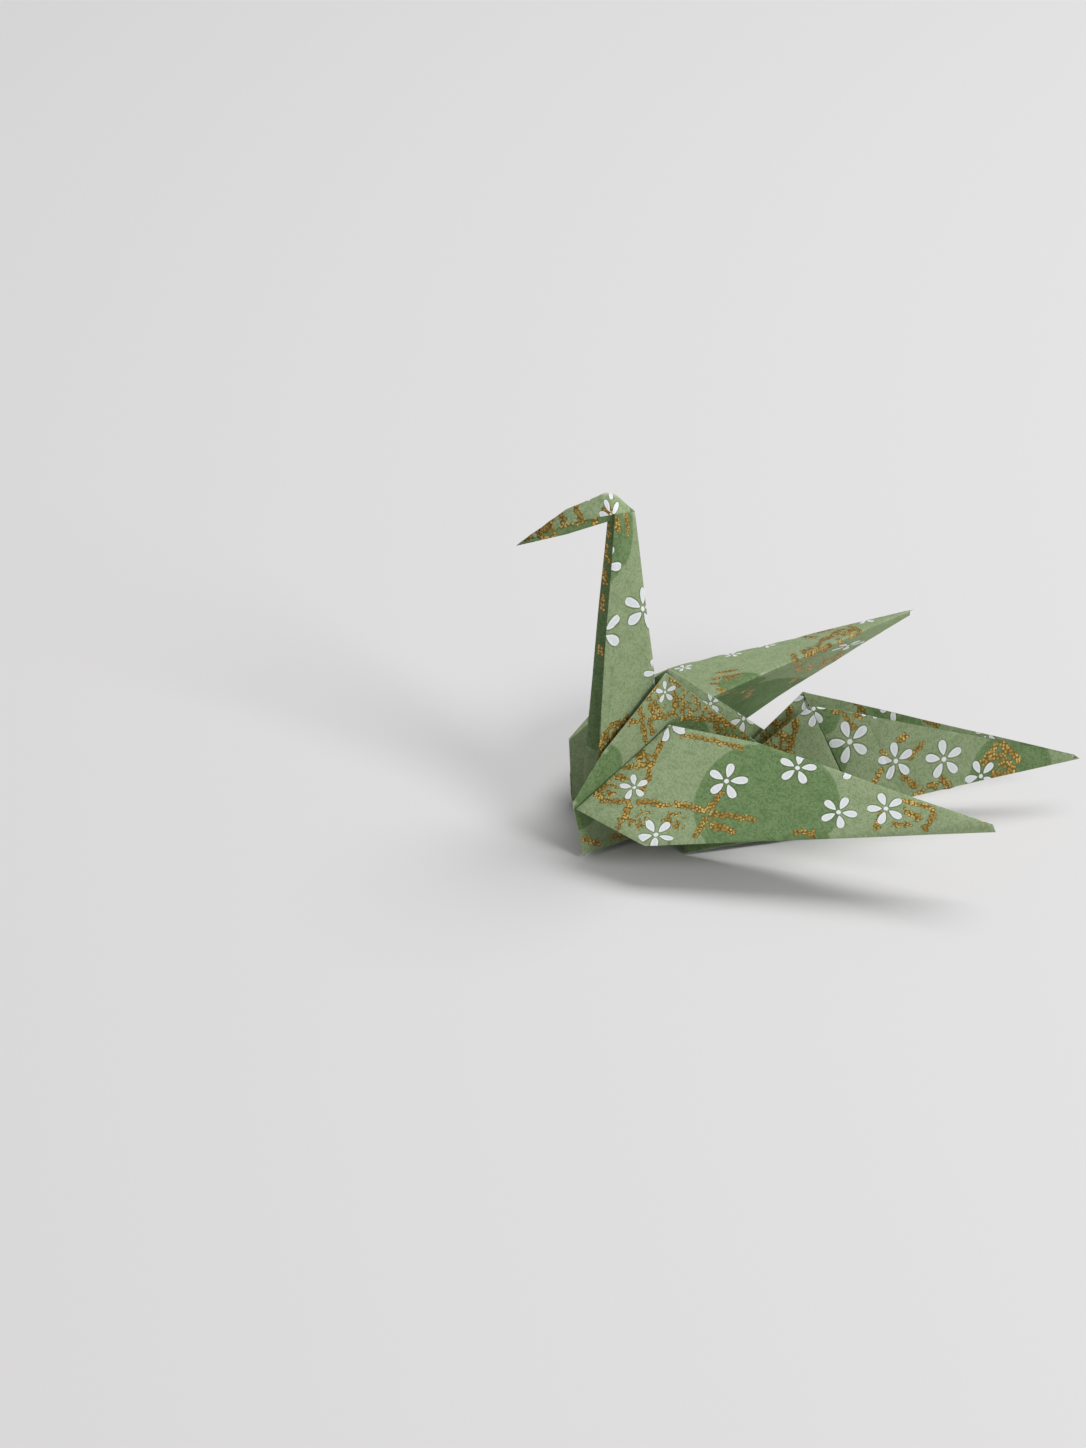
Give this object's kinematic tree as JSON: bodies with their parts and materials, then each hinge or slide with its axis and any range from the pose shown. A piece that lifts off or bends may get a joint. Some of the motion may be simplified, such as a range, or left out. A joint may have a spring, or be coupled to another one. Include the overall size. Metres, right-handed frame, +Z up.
{
  "type": "origami crane",
  "caption": "Paper crane folded from one square sheet, with a V-shaped neck, a peaked body, swept wings and a stepped tail.",
  "frame": {"origin": "on the table, at the middle of the crane's length and width", "axes": "+X along the crane towards the tail, +Y towards the far wing, +Z up"},
  "size_m": [0.0886, 0.0616, 0.0572],
  "materials": {
    "washi_paper": "matt patterned washi paper, sage green with a gold and white print"
  },
  "bodies": {
    "root": {"folded_sheet": "washi_paper"}
  },
  "joints": []
}
